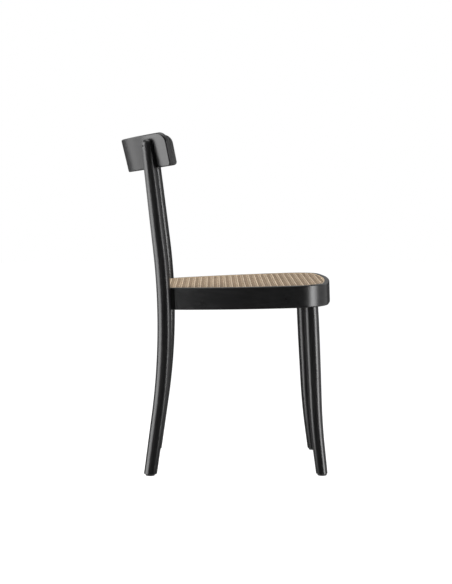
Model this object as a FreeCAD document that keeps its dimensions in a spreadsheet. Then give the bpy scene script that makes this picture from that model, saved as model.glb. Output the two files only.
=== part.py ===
import FreeCAD, Part
import math
import os

import Sketcher
from FreeCAD import Placement, Rotation, Vector

# Bentwood chair with a cane seat. Millimetres and degrees, +Z up, the floor at Z = 0.
# The chair faces -Y, X runs across it, and the origin lies under the middle of its outline.
# Pieces on the sitter's left have X > 0, and the right ones are their mirror images.

SIZES = {
    # Seat ring, seen from above: eight tangent arcs, measured back from the front edge
    "seat_front": 251.94,
    "seat_tilt": 1.74,
    "seat_depth": 414.5,
    "seat_width": 450.2,
    "seat_widest": 86.0,
    "seat_front_radius": 1035.0,
    "seat_side_radius": 810.0,
    "seat_rear_radius": 1200.0,
    "front_corner_radius": 79.0,
    "rear_corner_radius": 57.5,
    # Seat ring, in section
    "apron_height": 52.0,
    "seat_wall": 22.0,
    "rim_width": 11.2,
    "rim_rounding": 3.0,
    "inner_rounding": 2.0,
    "groove_width": 5.4,
    "groove_depth": 7.0,
    # Cane and the reed that holds it
    "cane_thickness": 1.6,
    "cane_recess": 0.3,
    "cane_tuck": 5.5,
    "cane_bend": 1.1,
    "cane_gap": 0.1,
    "cane_border": 5.0,
    "cane_openings": 12.0,
    "cane_opening": 16.2,
    "cane_pitch": 33.0,
    "reed_rounding": 1.3,
    # Glue line between wooden pieces
    "glue_gap": 0.15,
    # Front leg: heights above the floor, offsets forward of its shoulder
    "front_leg_height": 401.3,
    "front_leg_angle": 53.5,
    "front_leg_inset": 34.5,
    "front_foot_reach": 27.3,
    "front_knee_reach": 12.9,
    "front_knee_height": 119.8,
    "front_bend_radius": 1600.0,
    "front_foot_diameter": 26.9,
    "front_ankle_diameter": 28.9,
    "front_knee_diameter": 31.9,
    "front_top_diameter": 33.5,
    "shoulder_spare": 2.0,
    "tenon_diameter": 20.0,
    "tenon_length": 33.5,
    "tenon_chamfer": 1.0,
    # Rear leg and post: heights above the floor, offsets behind its foremost point
    "rear_leg_angle": 43.0,
    "rear_notch": 2.5,
    "rear_bend_radius": 1550.0,
    "rear_bend_height": 354.0,
    "rear_foot_reach": 34.2,
    "rear_top_reach": 41.0,
    "rear_top_height": 792.0,
    "rear_foot_diameter": 30.8,
    "rear_bend_diameter": 32.2,
    "rear_top_diameter": 27.3,
    "rear_seat_diameter": 32.2,
    "dome_rounding": 11.0,
    "foot_chamfer": 1.0,
    # Back board: a strip of a cone, measured at its outer face
    "board_radius": 239.0,
    "board_angle": 114.6,
    "board_height": 80.6,
    "board_thickness": 15.0,
    "board_flare": 4.3,
    "board_tilt": 9.0,
    "board_level": 762.2,
    "board_standoff": 6.5,
    "board_rounding": 3.5,
    "board_top_corner": 25.0,
    "board_bottom_corner": 8.0,
    # Corner blocks
    "front_block_reach": 18.0,
    "front_block_half": 36.0,
    "front_block_height": 34.0,
    "rear_block_reach": 59.6,
    "rear_block_half": 32.0,
    "rear_block_height": 42.0,
    "block_chamfer": 2.0,
    # Rear leg bolts, washers and threaded inserts
    "bolt_diameter": 6.0,
    "bolt_length": 60.0,
    "bolt_head_diameter": 10.0,
    "bolt_head_height": 6.0,
    "bolt_socket": 5.0,
    "bolt_socket_depth": 3.0,
    "bolt_hole_diameter": 6.6,
    "bolt_pitch": 20.0,
    "washer_diameter": 14.0,
    "washer_thickness": 1.6,
    "insert_diameter": 9.0,
    "insert_length": 12.0,
    "insert_depth": 0.5,
    "thread_gap": 0.05,
    # Block screws
    "block_screw_diameter": 4.0,
    "block_screw_length": 34.0,
    "block_screw_head": 8.0,
    "block_screw_head_height": 2.6,
    "block_screw_spread": 21.0,
    # Back board screws and plugs
    "board_screw_diameter": 4.0,
    "board_screw_length": 22.0,
    "board_screw_head": 8.0,
    "board_screw_head_height": 3.0,
    "board_screw_spread": 18.0,
    "plug_diameter": 9.0,
    "plug_length": 5.0,
    # Glides and their nails
    "glide_height": 4.0,
    "glide_diameter": 22.0,
    "glide_chamfer": 1.0,
    "nail_diameter": 2.5,
    "nail_length": 20.0,
    "nail_head": 6.0,
    "nail_head_height": 1.0,
    "nail_recess": 1.0,
    "nail_point": 2.0,
    "pilot_gap": 0.1,
}

SHEET = "Sizes"
UP = Vector(0, 0, 1)
ACROSS = Vector(1, 0, 0)


def cell(name):
    """Expression that reads one size from the sheet."""
    return f"{SHEET}.{name}"


def turned(name, function):
    """Expression for the sine, cosine or tangent of an angle in the sheet."""
    return f"{function}({SHEET}.{name} * 1 deg)"


def make_sheet(doc):
    """Write every driving dimension into the spreadsheet under its own alias."""
    sheet = doc.addObject("Spreadsheet::Sheet", SHEET)
    for row, (name, value) in enumerate(SIZES.items(), start=1):
        sheet.set(f"A{row}", name)
        sheet.set(f"B{row}", str(value))
        sheet.setAlias(f"B{row}", name)
    doc.recompute()
    return sheet


# Plan of the seat: centres of its arcs, in the seat's own frame (x across, y back)

def meeting_centre(centre_a, reach_a, centre_b, reach_b, backwards):
    """Centre of the corner arc that touches two arcs, on the sitter's left."""
    apart = centre_b - centre_a
    length = apart.Length
    along = (reach_a**2 - reach_b**2 + length**2) / (2 * length)
    aside = math.sqrt(reach_a**2 - along**2)
    unit = apart * (1 / length)
    normal = Vector(-unit.y, unit.x, 0)
    options = [centre_a + unit * along + normal * sign * aside for sign in (1, -1)]
    return max(options, key=lambda point: point.x + backwards * point.y)


def seat_plan():
    """Centres of the seat's arcs on the sitter's left, by name."""
    half_width = SIZES["seat_width"] / 2
    front = Vector(0, SIZES["seat_front_radius"], 0)
    rear = Vector(0, SIZES["seat_depth"] - SIZES["seat_rear_radius"], 0)
    side = Vector(half_width - SIZES["seat_side_radius"], SIZES["seat_widest"], 0)
    front_corner = meeting_centre(
        front, SIZES["seat_front_radius"] - SIZES["front_corner_radius"],
        side, SIZES["seat_side_radius"] - SIZES["front_corner_radius"], -1)
    rear_corner = meeting_centre(
        rear, SIZES["seat_rear_radius"] - SIZES["rear_corner_radius"],
        side, SIZES["seat_side_radius"] - SIZES["rear_corner_radius"], 1)
    return {"front": front, "rear": rear, "side": side,
            "front_corner": front_corner, "rear_corner": rear_corner}


def direction(angle):
    """Unit vector in plan at an angle from +x."""
    return Vector(math.cos(math.radians(angle)), math.sin(math.radians(angle)), 0)


def front_leg_spot(plan):
    """Where the front leg's axis meets the seat, in the seat's plan."""
    reach = SIZES["front_corner_radius"] - SIZES["front_leg_inset"]
    return plan["front_corner"] + direction(-SIZES["front_leg_angle"]) * reach


def rear_leg_spot(plan):
    """Where the post's axis passes the seat, in the seat's plan: notched onto the corner."""
    reach = SIZES["rear_corner_radius"] + SIZES["rear_seat_diameter"] / 2 - SIZES["rear_notch"]
    return plan["rear_corner"] + direction(SIZES["rear_leg_angle"]) * reach


def seat_frame(front_spot):
    """Frame of the seat: its top plane at the front edge, set on the front legs' shoulders."""
    tilt = math.radians(SIZES["seat_tilt"])
    height = (SIZES["front_leg_height"] + SIZES["apron_height"] * math.cos(tilt)
              + front_spot.y * math.sin(tilt))
    return Placement(Vector(0, -SIZES["seat_front"], height), Rotation(ACROSS, -SIZES["seat_tilt"]))


# Side view of the rear leg: a line, an arc and a line, as (y, z) from its foremost point

def tangent_point(outside, centre, radius, side):
    """Point where the line from an outside point touches a circle."""
    away = outside - centre
    swing = math.acos(radius / away.Length) * side
    heading = math.atan2(away.y, away.x) + swing
    return centre + Vector(math.cos(heading), math.sin(heading), 0) * radius


def rear_leg_line():
    """Foot, lower and upper tangent points, top and arc centre of the rear leg's axis."""
    centre = Vector(SIZES["rear_bend_radius"], SIZES["rear_bend_height"], 0)
    foot = Vector(SIZES["rear_foot_reach"], 0, 0)
    top = Vector(SIZES["rear_top_reach"], SIZES["rear_top_height"], 0)
    lower = tangent_point(foot, centre, SIZES["rear_bend_radius"], -1)
    upper = tangent_point(top, centre, SIZES["rear_bend_radius"], 1)
    return foot, lower, upper, top, centre


def rear_leg_offset(height):
    """How far the rear leg's axis lies behind its foremost point at a height."""
    foot, lower, upper, top, centre = rear_leg_line()
    if height > upper.y:
        return upper.x + (top.x - upper.x) * (height - upper.y) / (top.y - upper.y)
    if height < lower.y:
        return foot.x + (lower.x - foot.x) * height / lower.y
    return centre.x - math.sqrt(SIZES["rear_bend_radius"]**2 - (height - centre.y)**2)


def board_frame(post_x, post_y):
    """Frame of the back board's cone, set so that the posts stand off its outer face."""
    level = SIZES["board_level"]
    axis_reach = math.sqrt((SIZES["board_radius"] + SIZES["board_standoff"])**2 - post_x**2)
    rotation = Rotation(ACROSS, -SIZES["board_tilt"])
    post = Vector(0, post_y + rear_leg_offset(level), level)
    return Placement(post - rotation.multVec(Vector(0, axis_reach, 0)), rotation)


# Sketches

def origin_plane(body, role):
    """One of a body's own origin planes."""
    return [item for item in body.Origin.OriginFeatures if item.Role == role][0]


def new_body(doc, name, placement=None):
    """Start a body and place it."""
    body = doc.addObject("PartDesign::Body", name)
    body.Label = name
    body.Placement = placement or Placement()
    return body


def new_sketch(body, name, role="XY_Plane", lift=None, offset=None):
    """Sketch on an origin plane, lifted off it by an expression or set by a placement."""
    sketch = body.newObject("Sketcher::SketchObject", name)
    sketch.AttachmentSupport = [(origin_plane(body, role), "")]
    sketch.MapMode = "FlatFace"
    if offset is not None:
        sketch.AttachmentOffset = offset
    if lift is not None:
        sketch.setExpression("AttachmentOffset.Base.z", lift)
    return sketch


def bind(sketch, *constraint, expression):
    """Add a dimension and bind it to an expression."""
    index = sketch.addConstraint(Sketcher.Constraint(*constraint))
    sketch.setExpression(f"Constraints[{index}]", expression)


def bind_point(sketch, geometry, point, across, along, guess):
    """Fix a sketch point's two coordinates, on the axes where they are zero."""
    if across == "0":
        sketch.addConstraint(Sketcher.Constraint("PointOnObject", geometry, point, -2))
    else:
        bind(sketch, "DistanceX", -1, 1, geometry, point, guess.x, expression=across)
    if along == "0":
        sketch.addConstraint(Sketcher.Constraint("PointOnObject", geometry, point, -1))
    else:
        bind(sketch, "DistanceY", -1, 1, geometry, point, guess.y, expression=along)


def add_polygon(sketch, corners):
    """Closed polygon whose corners are pairs of expressions."""
    count = len(corners)
    guesses = [direction(360 * index / count + 1) * count for index in range(count)]
    first = sketch.GeometryCount
    for index in range(count):
        ends = guesses[index], guesses[(index + 1) % count]
        sketch.addGeometry(Part.LineSegment(*ends))
    for index in range(count):
        follower = first + (index + 1) % count
        sketch.addConstraint(Sketcher.Constraint("Coincident", first + index, 2, follower, 1))
    for index, (across, along) in enumerate(corners):
        bind_point(sketch, first + index, 1, across, along, guesses[index])


def add_circle(sketch, diameter):
    """Circle about the sketch's origin."""
    circle = sketch.addGeometry(Part.Circle(Vector(), UP, 5))
    sketch.addConstraint(Sketcher.Constraint("Coincident", circle, 3, -1, 1))
    bind(sketch, "Diameter", circle, 10.0, expression=diameter)


def heading(vector):
    """Angle of a vector in the sketch plane."""
    return math.atan2(vector.y, vector.x)


def add_seat_outline(sketch, inset, inset_now):
    """The seat's outline of eight tangent arcs, drawn in by an inset."""
    plan = seat_plan()
    flip = {name: Vector(-centre.x, centre.y, 0) for name, centre in plan.items()}
    tangent = {
        "front": heading(plan["front_corner"] - plan["front"]),
        "front_side": heading(plan["front_corner"] - plan["side"]),
        "rear_side": heading(plan["rear_corner"] - plan["side"]),
        "rear": heading(plan["rear_corner"] - plan["rear"]),
    }
    arcs = [
        ("seat_side_radius", plan["side"], tangent["front_side"], tangent["rear_side"]),
        ("rear_corner_radius", plan["rear_corner"], tangent["rear_side"], tangent["rear"]),
        ("seat_rear_radius", plan["rear"], tangent["rear"], math.pi - tangent["rear"]),
        ("rear_corner_radius", flip["rear_corner"],
         math.pi - tangent["rear"], math.pi - tangent["rear_side"]),
        ("seat_side_radius", flip["side"],
         math.pi - tangent["rear_side"], math.pi - tangent["front_side"]),
        ("front_corner_radius", flip["front_corner"],
         math.pi - tangent["front_side"], math.pi - tangent["front"]),
        ("seat_front_radius", plan["front"], -math.pi - tangent["front"], tangent["front"]),
        ("front_corner_radius", plan["front_corner"], tangent["front"], tangent["front_side"]),
    ]
    first = sketch.GeometryCount
    for radius, centre, start, end in arcs:
        circle = Part.Circle(centre, UP, SIZES[radius] - inset_now)
        sketch.addGeometry(Part.ArcOfCircle(circle, start, end))
    for index in range(len(arcs)):
        follower = first + (index + 1) % len(arcs)
        sketch.addConstraint(Sketcher.Constraint("Tangent", first + index, 2, follower, 1))
    for index, (radius, centre, start, end) in enumerate(arcs):
        bind(sketch, "Radius", first + index, SIZES[radius] - inset_now,
             expression=f"{cell(radius)} - ({inset})")
    side_x = f"{cell('seat_width')} / 2 - {cell('seat_side_radius')}"
    rear_y = f"{cell('seat_depth')} - {cell('seat_rear_radius')}"
    bind_point(sketch, first, 3, side_x, cell("seat_widest"), plan["side"])
    bind_point(sketch, first + 4, 3, f"-({side_x})", cell("seat_widest"), flip["side"])
    bind_point(sketch, first + 2, 3, "0", rear_y, plan["rear"])
    bind_point(sketch, first + 6, 3, "0", cell("seat_front_radius"), plan["front"])


def inset_of(*terms):
    """Expression and present value of an inset summed from (sign, size) pairs."""
    expression = "0" + "".join(f" {sign} {cell(name)}" for sign, name in terms)
    value = sum(SIZES[name] if sign == "+" else -SIZES[name] for sign, name in terms)
    return expression, value


# Features

def pad(body, name, sketch, length, downwards=False):
    """Raise a sketch by a length."""
    feature = body.newObject("PartDesign::Pad", name)
    feature.Profile = sketch
    feature.setExpression("Length", length)
    feature.Reversed = downwards
    return feature


def pocket(body, name, sketch, length=None, upwards=False):
    """Cut a sketch to a depth, or right through."""
    feature = body.newObject("PartDesign::Pocket", name)
    feature.Profile = sketch
    if length is None:
        feature.Type = "ThroughAll"
    else:
        feature.setExpression("Length", length)
    feature.Reversed = upwards
    return feature


def edge_names(shape, chosen):
    """Names of the edges of a shape that belong to a chosen list."""
    return [f"Edge{index}" for index, edge in enumerate(shape.Edges, start=1)
            if any(edge.isSame(other) for other in chosen)]


def round_edges(body, name, base, chosen, radius, kind="Fillet"):
    """Fillet or chamfer chosen edges of the last feature."""
    feature = body.newObject(f"PartDesign::{kind}", name)
    feature.Base = (base, edge_names(base.Shape, chosen))
    feature.setExpression("Radius" if kind == "Fillet" else "Size", radius)
    return feature


def level_face(shape, level):
    """The largest flat face that lies level at a height."""
    tolerance = 0.01
    faces = [face for face in shape.Faces
             if abs(face.BoundBox.ZMin - level) < tolerance
             and abs(face.BoundBox.ZMax - level) < tolerance]
    return max(faces, key=lambda face: Part.Face(face.OuterWire).Area)


def top_face(shape):
    """The face that reaches highest, by its centre."""
    return max(shape.Faces, key=lambda face: face.CenterOfMass.z)


def turned_body(doc, name, profile, hex_socket=False):
    """A turned piece: a closed half profile of (radius, height) expressions about Z."""
    body = new_body(doc, name)
    sketch = new_sketch(body, f"{name}_profile", "XZ_Plane")
    add_polygon(sketch, profile)
    turn = body.newObject("PartDesign::Revolution", f"{name}_turn")
    turn.Profile = sketch
    turn.ReferenceAxis = (sketch, ["V_Axis"])
    turn.Angle = 360
    if hex_socket:
        doc.recompute()
        socket = new_sketch(body, f"{name}_socket", "XY_Plane", cell("bolt_head_height"))
        corner = f"{cell('bolt_socket')} / 2 / cos(30 deg)"
        add_polygon(socket, [(f"{corner} * cos({60 * turn} deg)", f"{corner} * sin({60 * turn} deg)")
                             for turn in (0.5, 1.5, 2.5, 3.5, 4.5, 5.5)])
        pocket(body, f"{name}_socket_cut", socket, cell("bolt_socket_depth"))
    return body


def cut(doc, name, base, tool):
    """A piece with another shape cut out of it."""
    result = doc.addObject("Part::Cut", name)
    result.Label = name
    result.Base = base
    result.Tool = tool
    return result


def mirrored(doc, name, source):
    """The sitter's right-hand twin of a left-hand piece."""
    result = doc.addObject("Part::Mirroring", name)
    result.Label = name
    result.Source = source
    result.Normal = ACROSS
    result.Base = Vector()
    return result


def mirror_placements(placements):
    """Placements on the sitter's left, and the same for turned pieces on the right."""
    across = []
    for placement in placements:
        base = placement.Base
        axis = placement.Rotation.multVec(UP)
        turn = Rotation(UP, Vector(-axis.x, axis.y, axis.z))
        across.append(Placement(Vector(-base.x, base.y, base.z), turn))
    return placements + across


def group(doc, name, body, placements):
    """One node for identical fasteners: separate solids copied from a body."""
    copies = [body.Shape.copy() for _ in placements]
    for copy, placement in zip(copies, placements):
        copy.Placement = placement
    result = doc.addObject("Part::Feature", name)
    result.Label = name
    result.Shape = Part.makeCompound(copies)
    return result


def holes(doc, name, diameter, start, length, placements):
    """Round holes along the -Z axes of placements, as one cutting shape."""
    pins = []
    for placement in placements:
        pin = Part.makeCylinder(diameter / 2, length, Vector(0, 0, -start), -UP)
        pin.Placement = placement
        pins.append(pin)
    result = doc.addObject("Part::Feature", name)
    result.Label = name
    result.Shape = Part.makeCompound(pins)
    return result


# Seat ring, cane panel and reed

def seat_tools(doc, frame):
    """The room that the ring takes up, for the notches in the posts."""
    body = new_body(doc, "ring_bed", frame)
    sketch = new_sketch(body, "ring_bed_plan", lift=cell("glue_gap"))
    add_seat_outline(sketch, *inset_of(("-", "glue_gap")))
    pad(body, "ring_bed_pad", sketch, f"{cell('apron_height')} + 2 * {cell('glue_gap')}", True)
    return body


def seat_ring_blank(doc, frame):
    """The bent ring: rebate and groove on top for the cane, rounded edges."""
    body = new_body(doc, "seat_ring_blank", frame)
    plan = new_sketch(body, "ring_plan")
    add_seat_outline(plan, "0", 0)
    pad(body, "ring_pad", plan, cell("apron_height"), True)
    opening = new_sketch(body, "ring_opening")
    add_seat_outline(opening, *inset_of(("+", "seat_wall")))
    pocket(body, "ring_opening_cut", opening)
    rebate = new_sketch(body, "ring_rebate")
    add_seat_outline(rebate, *inset_of(("+", "rim_width")))
    pocket(body, "ring_rebate_cut", rebate, f"{cell('cane_thickness')} + {cell('cane_recess')}")
    groove = new_sketch(body, "ring_groove")
    add_seat_outline(groove, *inset_of(("+", "rim_width")))
    add_seat_outline(groove, *inset_of(("+", "rim_width"), ("+", "groove_width")))
    groove_cut = pocket(body, "ring_groove_cut", groove, cell("groove_depth"))
    doc.recompute()
    rim = level_face(groove_cut.Shape, 0).OuterWire.Edges
    foot = level_face(groove_cut.Shape, -SIZES["apron_height"])
    rounded = round_edges(body, "ring_rounding", groove_cut, rim + foot.OuterWire.Edges,
                          cell("rim_rounding"))
    doc.recompute()
    foot = level_face(rounded.Shape, -SIZES["apron_height"])
    outer = foot.OuterWire.Edges
    inner = [edge for edge in foot.Edges if not any(edge.isSame(other) for other in outer)]
    round_edges(body, "ring_inner_rounding", rounded, inner, cell("inner_rounding"))
    return body


def cane_openings(doc, frame):
    """Square openings through the cane, clipped to the outline inside its plain border."""
    field = new_body(doc, "cane_field", frame)
    border = [("+", "rim_width"), ("+", "groove_width"), ("+", "cane_border")]
    plan = new_sketch(field, "cane_field_plan")
    add_seat_outline(plan, *inset_of(*border))
    inside = pad(field, "cane_field_pad", plan, f"2 * {cell('cane_tuck')}", True)
    doc.recompute()
    count = int(SIZES["cane_openings"])
    opening, tuck = SIZES["cane_opening"], SIZES["cane_tuck"]
    offsets = [(index + 0.5 - count / 2) * SIZES["cane_pitch"] for index in range(count)]
    cells = []
    for x in offsets:
        for offset in offsets:
            y = SIZES["seat_depth"] / 2 + offset
            if inside.Shape.isInside(Vector(x, y, -tuck), 0.01, True):
                corner = Vector(x - opening / 2, y - opening / 2, -3 * tuck)
                cells.append(Part.makeBox(opening, opening, 4 * tuck, corner))
    grid = doc.addObject("Part::Feature", "cane_grid")
    grid.Shape = Part.makeCompound(cells)
    grid.Placement = frame
    result = doc.addObject("Part::Common", "cane_openings")
    result.Base = field
    result.Tool = grid
    return result


def cane_panel(doc, frame):
    """The cane: a thin sheet with a grid of openings, its edge turned down into the groove."""
    body = new_body(doc, "cane_sheet_body", frame)
    inner = [("+", "rim_width"), ("+", "groove_width"), ("-", "cane_gap")]
    outer = inner + [("-", "cane_thickness")]
    level = f"-{cell('cane_recess')}"
    sheet = new_sketch(body, "cane_plan", lift=level)
    add_seat_outline(sheet, *inset_of(*outer))
    pad(body, "cane_sheet", sheet, cell("cane_thickness"), True)
    edge = new_sketch(body, "cane_edge", lift=level)
    add_seat_outline(edge, *inset_of(*outer))
    add_seat_outline(edge, *inset_of(*inner))
    tuck = pad(body, "cane_edge_tuck", edge, cell("cane_tuck"), True)
    doc.recompute()
    crease = level_face(tuck.Shape, -SIZES["cane_recess"]).OuterWire.Edges
    round_edges(body, "cane_crease", tuck, crease, cell("cane_bend"))
    return cut(doc, "cane_panel", body, cane_openings(doc, frame))


def cane_spline(doc, frame):
    """The reed pressed into the groove over the cane's edge, with a rounded back."""
    body = new_body(doc, "cane_spline", frame)
    outer = [("+", "rim_width"), ("+", "cane_gap")]
    inner = [("+", "rim_width"), ("+", "groove_width"), ("-", "cane_thickness"),
             ("-", "cane_gap"), ("-", "cane_gap")]
    sketch = new_sketch(body, "reed_plan", lift=f"-{cell('cane_gap')}")
    add_seat_outline(sketch, *inset_of(*outer))
    add_seat_outline(sketch, *inset_of(*inner))
    reed = pad(body, "reed_pad", sketch,
               f"{cell('groove_depth')} - 2 * {cell('cane_gap')}", True)
    doc.recompute()
    back = level_face(reed.Shape, -SIZES["cane_gap"]).Edges
    round_edges(body, "reed_back", reed, back, cell("reed_rounding"))
    return body


# Corner blocks

def corner_block(doc, name, frame, spot, angle, kind):
    """A block glued into the ring's corner: the corner's curve outside, sawn flat inside."""
    body = new_body(doc, name, frame)
    underside = f"-{cell('apron_height')}"
    plan = new_sketch(body, f"{name}_plan", lift=underside)
    add_seat_outline(plan, *inset_of(("+", "seat_wall"), ("+", "glue_gap")))
    pad(body, f"{name}_pad", plan, cell(f"{kind}_block_height"))
    doc.recompute()
    beyond = f"2 * {cell('seat_width')}"
    reach = cell(f"{kind}_block_reach")
    half = cell(f"{kind}_block_half")
    on_axis = Placement(Vector(spot.x, spot.y, 0), Rotation(UP, angle))
    waste = new_sketch(body, f"{name}_waste", lift=underside, offset=on_axis)
    add_polygon(waste, [(f"-{beyond}", f"-{beyond}"), (beyond, f"-{beyond}"),
                        (beyond, beyond), (f"-{beyond}", beyond)])
    add_polygon(waste, [(f"-{reach}", f"-{half}"), (f"{reach} + {half}", f"-{half}"),
                        (f"{reach} + {half}", half), (f"-{reach}", half)])
    sawn = pocket(body, f"{name}_sawing", waste, upwards=True)
    doc.recompute()
    if kind == "front":
        mortise = new_sketch(body, f"{name}_mortise", lift=underside, offset=on_axis)
        add_circle(mortise, f"{cell('tenon_diameter')} + 2 * {cell('glue_gap')}")
        sawn = pocket(body, f"{name}_mortise_cut", mortise, upwards=True)
        doc.recompute()
    upright = [edge for edge in sawn.Shape.Edges
               if len(edge.Vertexes) == 2
               and abs(edge.BoundBox.ZLength - SIZES[f"{kind}_block_height"]) < 0.01
               and isinstance(edge.Curve, Part.Line)
               and on_axis.inverse().multVec(edge.CenterOfMass).x < 1 - SIZES[f"{kind}_block_reach"]]
    round_edges(body, f"{name}_arris", sawn, upright, cell("block_chamfer"), "Chamfer")
    return body


def screw_placements(frame, spot, angle, kind, offsets):
    """Axes from a block's inner face out through the ring, at (aside, height) offsets."""
    seat = frame.multiply(Placement(Vector(spot.x, spot.y, 0), Rotation(UP, angle)))
    lie_down = Rotation(Vector(0, 1, 0), -90)
    reach = -SIZES[f"{kind}_block_reach"]
    return [seat.multiply(Placement(Vector(reach, aside, height), lie_down))
            for aside, height in offsets]


# Legs

def add_bent_line(sketch, foot, lower, upper, top, centre, radius_name):
    """Line, arc and line: a bent leg's axis. Returns the arc's index."""
    radius = (lower - centre).Length
    angles = sorted(heading(point - centre) % (2 * math.pi) for point in (lower, upper))
    if angles[1] - angles[0] > math.pi:
        angles = [angles[1], angles[0] + 2 * math.pi]
    lower_first = abs(angles[0] % (2 * math.pi) - heading(lower - centre) % (2 * math.pi)) < 1e-6
    ends = (1, 2) if lower_first else (2, 1)
    sketch.addGeometry(Part.LineSegment(foot, lower))
    sketch.addGeometry(Part.ArcOfCircle(Part.Circle(centre, UP, radius), *angles))
    sketch.addGeometry(Part.LineSegment(upper, top))
    sketch.addConstraint(Sketcher.Constraint("Tangent", 0, 2, 1, ends[0]))
    sketch.addConstraint(Sketcher.Constraint("Tangent", 1, ends[1], 2, 1))
    bind(sketch, "Radius", 1, radius, expression=cell(radius_name))
    return 1


def sweep_leg(body, name, path, stations):
    """Sweep round sections, each with its own diameter, along a bent axis."""
    sections = []
    for index, (edge, share, diameter) in enumerate(stations):
        section = body.newObject("Sketcher::SketchObject", f"{name}_section_{index}")
        section.AttachmentSupport = [(path, edge)]
        section.MapMode = "NormalToEdge"
        section.MapPathParameter = share
        add_circle(section, cell(diameter))
        sections.append(section)
    body.Document.recompute()
    sweep = body.newObject("PartDesign::AdditivePipe", f"{name}_sweep")
    sweep.Profile = sections[0]
    sweep.Spine = (path, ["Edge1", "Edge2", "Edge3"])
    sweep.Sections = [(section, [""]) for section in sections[1:]]
    sweep.Transformation = "Multisection"
    return sweep


def finish_foot(body, name, floor, foot_reach):
    """Saw the foot level above its glide, drill it for the nail and break its edge."""
    doc = body.Document
    at_foot = Placement(Vector(0, foot_reach, 0), Rotation())
    level = f"{floor} + {cell('glide_height')}"
    saw = new_sketch(body, f"{name}_saw", lift=level, offset=at_foot)
    add_circle(saw, f"4 * {cell('rear_foot_diameter')}")
    pocket(body, f"{name}_foot", saw)
    drill = new_sketch(body, f"{name}_drill", lift=level, offset=at_foot)
    add_circle(drill, f"{cell('nail_diameter')} + 2 * {cell('pilot_gap')}")
    drilled = pocket(body, f"{name}_nail_hole", drill, cell("nail_length"), upwards=True)
    doc.recompute()
    sole = min(drilled.Shape.Faces, key=lambda face: face.CenterOfMass.z)
    return round_edges(body, f"{name}_foot_arris", drilled, sole.OuterWire.Edges,
                       cell("foot_chamfer"), "Chamfer")


def front_leg(doc, name, spot, frame):
    """Turned leg with a slight sabre curve, a shoulder under the ring and a tenon."""
    shoulder = frame.multVec(Vector(spot.x, spot.y, -SIZES["apron_height"]))
    body = new_body(doc, name, Placement(shoulder, Rotation()))
    foot = Vector(-SIZES["front_foot_reach"], -SIZES["front_leg_height"], 0)
    knee = Vector(-SIZES["front_knee_reach"],
                  SIZES["front_knee_height"] - SIZES["front_leg_height"], 0)
    top = Vector(0, SIZES["shoulder_spare"], 0)
    rise = (knee - foot).normalize()
    onward = (top - knee).normalize()
    bend = SIZES["front_bend_radius"] * math.tan(rise.getAngle(onward) / 2)
    lower = knee - rise * bend
    upper = knee + onward * bend
    centre = lower + Vector(-rise.y, rise.x, 0) * SIZES["front_bend_radius"]
    path = new_sketch(body, f"{name}_axis", "YZ_Plane")
    add_bent_line(path, foot, lower, upper, top, centre, "front_bend_radius")
    drop = f"-{cell('front_leg_height')}"
    bind_point(path, 0, 1, f"-{cell('front_foot_reach')}", drop, foot)
    bind_point(path, 2, 2, "0", cell("shoulder_spare"), top)
    mark = path.addGeometry(Part.Point(knee), True)
    path.addConstraint(Sketcher.Constraint("PointOnObject", mark, 1, 0))
    path.addConstraint(Sketcher.Constraint("PointOnObject", mark, 1, 2))
    bind_point(path, mark, 1, f"-{cell('front_knee_reach')}",
               f"{cell('front_knee_height')} - {cell('front_leg_height')}", knee)
    doc.recompute()
    sweep_leg(body, name, path, [
        ("Edge1", 0.0, "front_foot_diameter"), ("Edge1", 1.0, "front_ankle_diameter"),
        ("Edge3", 0.0, "front_knee_diameter"), ("Edge3", 0.3, "front_top_diameter"),
        ("Edge3", 1.0, "front_top_diameter")])
    finish_foot(body, name, drop, -SIZES["front_foot_reach"])
    seat_plane = Placement(Vector(), Rotation(ACROSS, -SIZES["seat_tilt"]))
    trim = new_sketch(body, f"{name}_trim", offset=seat_plane)
    trim.setExpression("AttachmentOffset.Rotation.Angle", f"-{cell('seat_tilt')}")
    add_circle(trim, f"4 * {cell('front_top_diameter')}")
    pocket(body, f"{name}_shoulder", trim, upwards=True)
    peg = new_sketch(body, f"{name}_peg", offset=seat_plane)
    peg.setExpression("AttachmentOffset.Rotation.Angle", f"-{cell('seat_tilt')}")
    add_circle(peg, cell("tenon_diameter"))
    tenon = pad(body, f"{name}_tenon", peg, cell("tenon_length"))
    doc.recompute()
    round_edges(body, f"{name}_tenon_arris", tenon, top_face(tenon.Shape).Edges,
                cell("tenon_chamfer"), "Chamfer")
    return body


def rear_leg_blank(doc, name, place):
    """One bent stick from the foot to the domed top of the post."""
    body = new_body(doc, name, place)
    foot, lower, upper, top, centre = rear_leg_line()
    path = new_sketch(body, f"{name}_axis", "YZ_Plane")
    arc = add_bent_line(path, foot, lower, upper, top, centre, "rear_bend_radius")
    bind_point(path, 0, 1, cell("rear_foot_reach"), "0", foot)
    bind_point(path, 2, 2, cell("rear_top_reach"), cell("rear_top_height"), top)
    bind_point(path, arc, 3, cell("rear_bend_radius"), cell("rear_bend_height"), centre)
    doc.recompute()
    sweep_leg(body, name, path, [
        ("Edge1", 0.0, "rear_foot_diameter"), ("Edge1", 1.0, "rear_bend_diameter"),
        ("Edge3", 0.0, "rear_bend_diameter"), ("Edge3", 1.0, "rear_top_diameter")])
    last = finish_foot(body, name, "0", SIZES["rear_foot_reach"])
    doc.recompute()
    round_edges(body, f"{name}_dome", last, top_face(last.Shape).Edges, cell("dome_rounding"))
    return body


# Back board

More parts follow.
